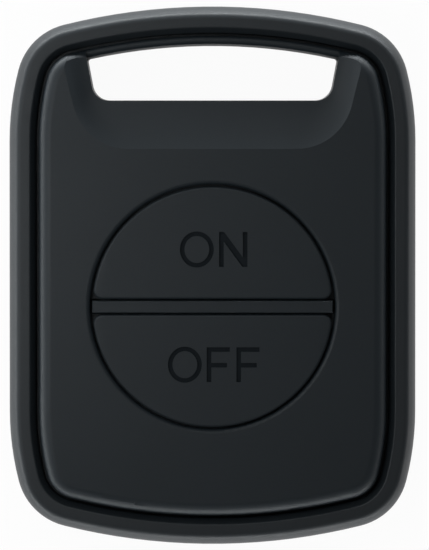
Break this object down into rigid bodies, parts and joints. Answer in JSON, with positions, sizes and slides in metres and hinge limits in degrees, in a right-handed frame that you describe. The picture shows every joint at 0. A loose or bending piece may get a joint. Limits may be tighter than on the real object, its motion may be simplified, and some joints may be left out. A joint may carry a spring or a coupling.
{
  "type": "alarm remote key fob",
  "caption": "Pocket remote for a house alarm: bowed plastic case, half-moon on and off keys in a round well, a slot for a key loop, and a twist-off cell door in the back.",
  "frame": {"origin": "middle of the case's rear face, on the surface that the remote lies on", "axes": "+Z out of the keys, +Y to the end with the key-loop slot, +X to the right seen from the front"},
  "size_m": [0.04, 0.053, 0.01],
  "materials": {
    "case_plastic": "fine matt spark texture, anthracite",
    "frame_plastic": "satin, soft to the touch, near black",
    "key_plastic": "fine matt, anthracite",
    "plunger_plastic": "moulded, off-white",
    "part_black": "moulded, black",
    "seal_rubber": "smooth black silicone",
    "black_steel": "blackened",
    "spring_steel": "nickel plated",
    "cell_steel": "brushed",
    "copper_wire": "bare drawn wire",
    "board_laminate": "green solder mask",
    "ceramic": "fired ceramic, tan"
  },
  "bodies": {
    "root": {"outer_frame": "frame_plastic", "front_cover": "case_plastic", "rear_cover": "case_plastic", "case_screws": "black_steel", "key_guide": "key_plastic", "on_switch_base": "part_black", "off_switch_base": "part_black", "on_switch_dome": "spring_steel", "off_switch_dome": "spring_steel", "circuit_board": "board_laminate", "coin_cell": "cell_steel", "cell_cradle": "part_black", "positive_contact": "spring_steel", "negative_contact": "spring_steel", "radio_chip": "part_black", "crystal": "cell_steel", "antenna_wire": "copper_wire", "chip_capacitors": "ceramic", "chip_resistors": "part_black"},
    "door": {"battery_door": "case_plastic", "door_seal": "seal_rubber"},
    "on_key": {"on_button": "key_plastic"},
    "off_key": {"off_button": "key_plastic"},
    "on_plunger": {"on_switch_plunger": "plunger_plastic"},
    "off_plunger": {"off_switch_plunger": "plunger_plastic"}
  },
  "joints": [
    {"name": "on_key_press", "type": "slide", "parent": "root", "child": "on_key", "axis": [0, 0, -1], "range_m": [0, 0.00035], "stiffness_N_per_m": 4000},
    {"name": "off_key_press", "type": "slide", "parent": "root", "child": "off_key", "axis": [0, 0, -1], "range_m": [0, 0.00035], "stiffness_N_per_m": 4000},
    {"name": "on_plunger_slide", "type": "slide", "parent": "root", "child": "on_plunger", "axis": [0, 0, -1], "range_m": [0, 0.00035], "deforming": ["on_switch_dome"]},
    {"name": "off_plunger_slide", "type": "slide", "parent": "root", "child": "off_plunger", "axis": [0, 0, -1], "range_m": [0, 0.00035], "deforming": ["off_switch_dome"]},
    {"name": "door_twist", "type": "hinge", "parent": "root", "child": "door", "pos_m": [0, -0.004, 0.001], "axis": [0, 0, -1], "range_deg": [0, 40]}
  ],
  "couplings": [
    {"joint": "on_plunger_slide", "follows": "on_key_press", "ratio": 1},
    {"joint": "off_plunger_slide", "follows": "off_key_press", "ratio": 1}
  ]
}
